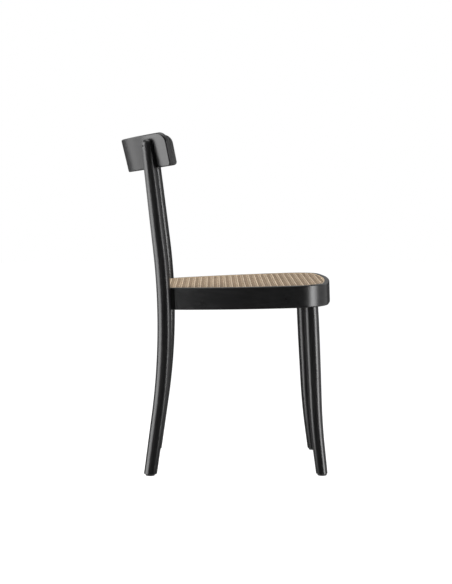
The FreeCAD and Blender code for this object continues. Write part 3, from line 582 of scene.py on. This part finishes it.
def finish_piece(bench_mesh: bmesh.types.BMesh, name: str, material: bpy.types.Material,
                 replaced: tuple[str, ...] = ()) -> bpy.types.Object:
    """Turn a bmesh into a piece that rides on the chair.

    Args:
        bench_mesh: The finished mesh, in the chair's frame.
        name: The piece's name.
        material: Its material.
        replaced: The CAD nodes that it stands for.

    Returns:
        The new object.
    """
    mesh = bpy.data.meshes.new(name)
    for face in bench_mesh.faces:
        face.smooth = True
    bench_mesh.to_mesh(mesh)
    bench_mesh.free()
    piece = bpy.data.objects.new(name, mesh)
    bpy.context.scene.collection.objects.link(piece)
    mesh.materials.append(material)
    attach(piece, BODY)
    if replaced:
        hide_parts(*replaced)
    LOG.info("%s: %d faces", name, len(mesh.polygons))
    return piece


class Lay(Enum):
    """The four runs of strands in the six-way cane pattern."""

    BACKWARDS = "cane_strands_lengthwise"
    ACROSS = "cane_strands_crosswise"
    RISING = "cane_strands_diagonal_left"
    FALLING = "cane_strands_diagonal_right"


@dataclass
class CaneWeave:
    """The six-way woven cane: pairs both ways and a diagonal each way between them. The
    crosswise strands carry a lightened copy of the peel as painted light, the other runs a
    darkened copy as painted shade.
    """

    plan: SeatPlan
    # A lightened copy of the peel: painted light on the crosswise strands that lie on top.
    peel: CanePeel = field(default_factory=lambda: CanePeel(
        "cane_painted_light_peel", pale=(0.72, 0.57, 0.40), warm=(0.56, 0.42, 0.28)))
    # A darkened copy of the same peel: painted shade on the lengthwise and diagonal runs that
    # lie beneath.
    painted_shade_peel: CanePeel = field(default_factory=lambda: CanePeel(
        "cane_painted_shade_peel", pale=(0.40, 0.29, 0.185), warm=(0.30, 0.21, 0.13), gloss=0.5))
    pitch: float = 0.015
    pair: float = 0.0050
    width: float = 0.0032
    diagonal_width: float = 0.0024
    thickness: float = 0.0008
    level: float = -0.0012
    flat_inset: float = 0.0174
    reach: int = 32
    profile: tuple[tuple[float, float], ...] = (
        (-0.5, -0.5), (0.5, -0.5), (0.5, 0.05), (0.24, 0.42), (-0.24, 0.42), (-0.5, 0.05))
    ends: tuple[tuple[float, float], ...] = (
        (0.0166, -0.0014), (0.0159, -0.0028), (0.0157, -0.0052))

    def height_at(self, lay: Lay, side: int, crossing: int) -> float:
        """Height of a strand's middle at a place in the pattern.

        Args:
            lay: The run of the strand.
            side: -1 or 1, for which strand of its pair it is.
            crossing: -1 or 1 at the other pair's strands, 0 between them.

        Returns:
            The height above the weave's middle.
        """
        if lay is Lay.BACKWARDS:
            return -side * crossing * self.thickness
        if lay is Lay.ACROSS:
            return side * crossing * self.thickness
        lift = -0.5 if lay is Lay.RISING else 0.5
        return lift * self.thickness * (1 - abs(crossing))

    def stations(self, lay: Lay, side: int, origin: Vector, run: Vector,
                 outlines: list[list[Vector]]) -> list[tuple[float, float]] | None:
        """Distances and heights of a strand's bends, with its ends turned down.

        Args:
            lay: The run of the strand.
            side: Which strand of its pair it is.
            origin: A lattice point on the strand.
            run: Its direction.
            outlines: The flat part's edge, then the edges of the turned-down end.

        Returns:
            Pairs of distance and height, or None for a strand too short to weave.
        """
        spans = [chord(points, origin, run) for points in outlines]
        if None in spans or spans[0][1] - spans[0][0] < self.pitch:
            return None
        scale = 1 / max(abs(run.x), abs(run.y))
        period = self.pitch * scale
        half = self.pair * scale / 2
        low, high = spans[0]
        bends = []
        for index in range(math.floor(low / period) - 1, math.ceil(high / period) + 2):
            for offset, crossing in ((-half, -1), (0.0, 0), (half, 1), (period / 2, 0)):
                distance = index * period + offset
                if low < distance < high:
                    bends.append((distance, self.height_at(lay, side, crossing)))
        turned = [(*span, drop - self.level) for span, (_, drop) in zip(spans[1:], self.ends)]
        starts = [(start, height) for start, _, height in turned[::-1]]
        finishes = [(end, height) for _, end, height in turned]
        return starts + [(low, 0.0)] + bends + [(high, 0.0)] + finishes

    def add_strand(self, mesh: bmesh.types.BMesh, number: int, lay: Lay, origin: Vector,
                   run: Vector, bends: list[tuple[float, float]]) -> None:
        """Add one strand: a grid rolled into a crowned strip, whose ends build closes.

        Args:
            mesh: The mesh that takes it.
            number: Its number, for its own tone.
            lay: The run of the strand.
            origin: A point on its line.
            run: Its direction.
            bends: Distances and heights of its stations.
        """
        sides = len(self.profile)
        count = len(bends) - 1
        width = self.diagonal_width if lay in (Lay.RISING, Lay.FALLING) else self.width
        made = bmesh.ops.create_grid(mesh, x_segments=count, y_segments=sides, size=0.5)
        uv = mesh.loops.layers.uv.verify()
        aside = Vector((-run.y, run.x, 0.0))
        for vert in made["verts"]:
            index = round((vert.co.x + 0.5) * count)
            ring = round((vert.co.y + 0.5) * sides)
            distance, height = bends[index]
            share, rise = self.profile[ring % sides]
            across = number + STRAND_MARGIN + STRAND_SPAN * ring / sides
            vert.co = (origin + run * distance + aside * (share * width)
                       + UP * (self.level + height + rise * self.thickness))
            for loop in vert.link_loops:
                loop[uv].uv = (across, distance)
        bmesh.ops.remove_doubles(mesh, verts=made["verts"], dist=WELD)

    def lines(self, lay: Lay) -> list[tuple[int, Vector, Vector]]:
        """Every strand's line in one run.

        Args:
            lay: The run.

        Returns:
            Side in the pair, a lattice point and the direction of each.
        """
        found = []
        for index in range(-self.reach, self.reach + 1):
            at = index * self.pitch
            if lay is Lay.BACKWARDS:
                for side in (-1, 1):
                    origin = Vector((at + side * self.pair / 2, 0.0, 0.0))
                    found.append((side, origin, Vector((0.0, 1.0, 0.0))))
            elif lay is Lay.ACROSS:
                for side in (-1, 1):
                    origin = Vector((0.0, at + side * self.pair / 2, 0.0))
                    found.append((side, origin, Vector((1.0, 0.0, 0.0))))
            else:
                slope = 1.0 if lay is Lay.RISING else -1.0
                run = Vector((1.0, slope, 0.0)).normalized()
                found.append((0, Vector((0.0, 2 * at, 0.0)), run))
                found.append((0, Vector((0.0, 2 * at + self.pitch, 0.0)), run))
        return found

    def build(self) -> list[bpy.types.Object]:
        """Weave the four runs and hide the plain sheet.

        Returns:
            The four pieces.
        """
        # top is the lightened peel (painted light); under is the darkened peel (painted shade).
        top, under = self.peel.material(), self.painted_shade_peel.material()
        insets = [self.flat_inset] + [inset for inset, _ in self.ends]
        outlines = [self.plan.outline(inset) for inset in insets]
        pieces = []
        for lay in Lay:
            mesh = bmesh.new()
            number = 0
            for side, origin, run in self.lines(lay):
                bends = self.stations(lay, side, origin, run, outlines)
                if bends:
                    self.add_strand(mesh, number, lay, origin, run, bends)
                    number += 1
            bmesh.ops.holes_fill(mesh, edges=mesh.edges, sides=len(self.profile))
            bmesh.ops.recalc_face_normals(mesh, faces=mesh.faces)
            bmesh.ops.transform(mesh, matrix=self.plan.matrix(), verts=mesh.verts)
            # Crosswise strands take the lightened copy (painted light), the other runs the
            # darkened copy (painted shade).
            material = top if lay is Lay.ACROSS else under
            pieces.append(finish_piece(mesh, lay.value, material, ("cane_panel",)))
        return pieces


@dataclass
class Reed:
    """The half-round reed pressed into the groove over the cane's ends."""

    plan: SeatPlan
    width: float = 0.0035
    bottom: float = -0.0066
    top: float = -0.0001
    gap: float = 0.0001
    crown: int = 7
    crown_rise: float = 0.001085
    step: float = 0.003
    peel: CanePeel = field(default_factory=lambda: CanePeel(
        "reed_peel", pale=(0.62, 0.49, 0.33), warm=(0.52, 0.39, 0.25), crown_half=0.6,
        gloss=0.45))

    def build(self) -> bpy.types.Object:
        """Sweep the half-round section round the ring.

        Returns:
            The reed.
        """
        mesh = bmesh.new()
        middle = self.plan.rim + self.gap + self.width / 2
        path = self.plan.outline(middle, self.step)
        inner = self.plan.outline(middle + self.step / 3, self.step)
        section = [(-0.5, self.bottom), (0.5, self.bottom)]
        for index in range(self.crown + 1):
            angle = math.pi * index / self.crown
            section.append((0.5 * math.cos(angle),
                            self.top - self.crown_rise * (1 - math.sin(angle))))
        sides, count = len(section), len(path)
        made = bmesh.ops.create_grid(mesh, x_segments=count, y_segments=sides, size=0.5)
        uv = mesh.loops.layers.uv.verify()
        for vert in made["verts"]:
            index = round((vert.co.x + 0.5) * count)
            ring = round((vert.co.y + 0.5) * sides)
            share, height = section[ring % sides]
            inwards = (inner[index % count] - path[index % count]).normalized()
            vert.co = path[index % count] + inwards * (share * self.width) + UP * height
            for loop in vert.link_loops:
                loop[uv].uv = (STRAND_MARGIN + STRAND_SPAN * ring / sides, index * self.step)
        bmesh.ops.remove_doubles(mesh, verts=mesh.verts, dist=WELD)
        bmesh.ops.recalc_face_normals(mesh, faces=mesh.faces)
        bmesh.ops.transform(mesh, matrix=self.plan.matrix(), verts=mesh.verts)
        return finish_piece(mesh, "cane_reed", self.peel.material(), ("cane_spline",))


@dataclass
class LacqueredWood:
    """The CAD's wooden pieces that carry the black lacquer."""

    legs: tuple[str, ...] = ("rear_leg_left", "rear_leg_right", "front_leg_left",
                             "front_leg_right")

    def dress(self) -> None:
        """Give each piece the lacquer whose grain follows it."""
        upright = SatinLacquer("lacquer_legs", GrainRun.UPRIGHT).material()
        ring = SatinLacquer("lacquer_seat_ring", GrainRun.ROUND_SEAT).material()
        board = SatinLacquer("lacquer_back_board", GrainRun.ROUND_BOARD).material()
        for name in self.legs:
            dress_node(name, upright)
        dress_node("seat_ring", ring)
        dress_node("back_board", board)
        dress_node("back_board_plugs", board)


@dataclass
class Underside:
    """Corner blocks, fasteners and glides."""

    blocks: tuple[str, ...] = ("front_corner_block_left", "front_corner_block_right",
                               "rear_corner_block_left", "rear_corner_block_right")
    steel: tuple[str, ...] = ("rear_leg_bolts", "rear_leg_washers", "corner_block_screws",
                              "back_board_screws", "glide_nails")
    glides: tuple[str, ...] = ("glide_front_left", "glide_front_right", "glide_rear_left",
                               "glide_rear_right")

    def dress(self) -> None:
        """Give the hidden pieces their finishes."""
        beech = BareBeech().material()
        zinc = Metal("zinc_plate", (0.62, 0.63, 0.65), dull=0.42, polished=0.28).material()
        brass = Metal("turned_brass", (0.76, 0.57, 0.27), dull=0.4, polished=0.25).material()
        plastic = GlidePlastic().material()
        for name in self.blocks:
            dress_node(name, beech)
        for name in self.steel:
            dress_node(name, zinc)
        dress_node("rear_leg_inserts", brass)
        for name in self.glides:
            dress_node(name, plastic)


def dress_node(name: str, material: bpy.types.Material) -> None:
    """Give a CAD node one material.

    Args:
        name: The node.
        material: Its material.
    """
    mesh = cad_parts[name].data
    mesh.materials.clear()
    mesh.materials.append(material)
    LOG.info("%s dressed in %s", name, material.name)


# Studio

@dataclass
class Softbox:
    """One rectangular softbox, aimed at a point."""

    name: str
    place: tuple[float, float, float]
    aim: tuple[float, float, float]
    size: tuple[float, float]
    radiance: float
    spread: float = 180.0

    def build(self) -> None:
        """Hang the light. Its power follows from its area and brightness."""
        light = bpy.data.lights.new(self.name, "AREA")
        light.shape = "RECTANGLE"
        light.size, light.size_y = self.size
        light.energy = self.radiance * math.pi * self.size[0] * self.size[1]
        light.spread = math.radians(self.spread)
        holder = bpy.data.objects.new(self.name, light)
        bpy.context.scene.collection.objects.link(holder)
        holder.location = self.place
        look = Vector(self.aim) - Vector(self.place)
        holder.rotation_mode = "QUATERNION"
        holder.rotation_quaternion = look.to_track_quat("-Z", "Y")
        holder.visible_camera = False


@dataclass
class Studio:
    """A white sweep, softboxes and panels round the chair, and a dim side by the camera."""

    boxes: tuple[Softbox, ...] = (
        Softbox("softbox_rear", (-0.34, 0.80, 0.50), (-0.15, 0.15, 0.5), (0.62, 1.5), 5.5),
        Softbox("panel_rear", (0.30, 0.90, 0.80), (0.0, 0.2, 0.7), (0.6, 0.9), 1.4),
        Softbox("softbox_front", (-0.45, -0.73, 0.45), (-0.08, -0.2, 0.45), (0.28, 1.3), 1.5,
                spread=62.0),
        Softbox("panel_front", (0.12, -0.85, 0.45), (0.0, -0.2, 0.4), (0.8, 1.3), 0.5),
        Softbox("softbox_top", (0.1, 0.0, 2.2), (0.0, 0.0, 0.45), (1.4, 1.4), 2.2),
    )
    floor_reach: float = 8.0
    floor_glow: float = 0.93

    def build_world(self) -> None:
        """White for the camera; for the light a dim room, paler above and on the far side."""
        world = bpy.data.worlds.new("studio")
        world.use_nodes = True
        bpy.context.scene.world = world
        bench = NodeBench(world.node_tree)
        direction = bench.add("TexCoord").outputs["Generated"]
        split = bench.add("SeparateXYZ", Vector=direction)
        side = bench.spread(split.outputs["X"], -0.6, 0.7, 0.25, 1.0)
        level = bench.math("ADD", bench.math("MULTIPLY", split.outputs["Z"], 0.5), 0.5)
        rise = bench.ramp(level, [(0.30, (0.34,) * 3), (0.44, (0.06,) * 3), (0.51, (0.06,) * 3),
                                  (0.68, (0.60,) * 3)])
        around = bench.add("Background", Color=WHITE,
                           Strength=bench.math("MULTIPLY", side, rise))
        white = bench.add("Background", Color=WHITE, Strength=1.0)
        seen = bench.add("LightPath").outputs["Is Camera Ray"]
        mix = bench.add("MixShader", Fac=seen)
        bench.feed(mix.inputs[1], around.outputs["Background"])
        bench.feed(mix.inputs[2], white.outputs["Background"])
        output = bench.add("OutputWorld")
        bench.feed(output.inputs["Surface"], mix.outputs["Shader"])

    def build_floor(self) -> None:
        """A large pale sweep that stays white and only just takes a shadow."""
        mesh = bmesh.new()
        bmesh.ops.create_circle(mesh, cap_ends=True, segments=96, radius=self.floor_reach)
        data = bpy.data.meshes.new("floor")
        mesh.to_mesh(data)
        mesh.free()
        floor = bpy.data.objects.new("floor", data)
        bpy.context.scene.collection.objects.link(floor)
        material, bench, shader = new_bench("pale_floor")
        place = bench.add("TexCoord").outputs["Object"]
        cloud = bench.noise(place, 3.0, 2.0)
        tone = bench.ramp(cloud, [(0.3, (0.30, 0.30, 0.30)), (0.7, (0.32, 0.32, 0.32))])
        bench.feed(shader.inputs["Base Color"], tone)
        shader.inputs["Roughness"].default_value = 0.9
        shader.inputs["Specular IOR Level"].default_value = 0.0
        shader.inputs["Emission Color"].default_value = WHITE
        shader.inputs["Emission Strength"].default_value = self.floor_glow
        data.materials.append(material)
        floor.visible_glossy = False

    def build(self) -> None:
        """Set up the whole studio."""
        self.build_world()
        self.build_floor()
        for box in self.boxes:
            box.build()
        bpy.context.scene.view_settings.view_transform = "Standard"


@dataclass
class SideCamera:
    """The photograph's camera: at the back board's height, square to the chair's side."""

    place: tuple[float, float, float] = (-3.9832, 0.03131, 0.7409)
    down: float = 0.0517
    aside: float = -0.0081
    focal_pixels: float = 1628.35
    rise: float = -0.08

    def build(self) -> None:
        """Make the camera and set it as the scene's."""
        data = bpy.data.cameras.new("side_camera")
        data.sensor_width = 36.0
        data.lens = self.focal_pixels * data.sensor_width / max(PICTURE)
        data.shift_y = self.rise
        data.clip_end = 50.0
        camera = bpy.data.objects.new("side_camera", data)
        bpy.context.scene.collection.objects.link(camera)
        camera.location = self.place
        look = Vector((math.cos(self.down) * math.cos(self.aside),
                       math.cos(self.down) * math.sin(self.aside), -math.sin(self.down)))
        camera.rotation_mode = "QUATERNION"
        camera.rotation_quaternion = look.to_track_quat("-Z", "Y")
        bpy.context.scene.camera = camera


def main() -> None:
    """Build the chair's looks in order."""
    logging.basicConfig(level=logging.INFO, format="%(name)s: %(message)s")
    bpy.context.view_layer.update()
    plan = SeatPlan()
    SideCamera().build()
    Studio().build()
    LacqueredWood().dress()
    Underside().dress()
    CaneWeave(plan).build()
    Reed(plan).build()


if __name__ == "__main__":
    main()
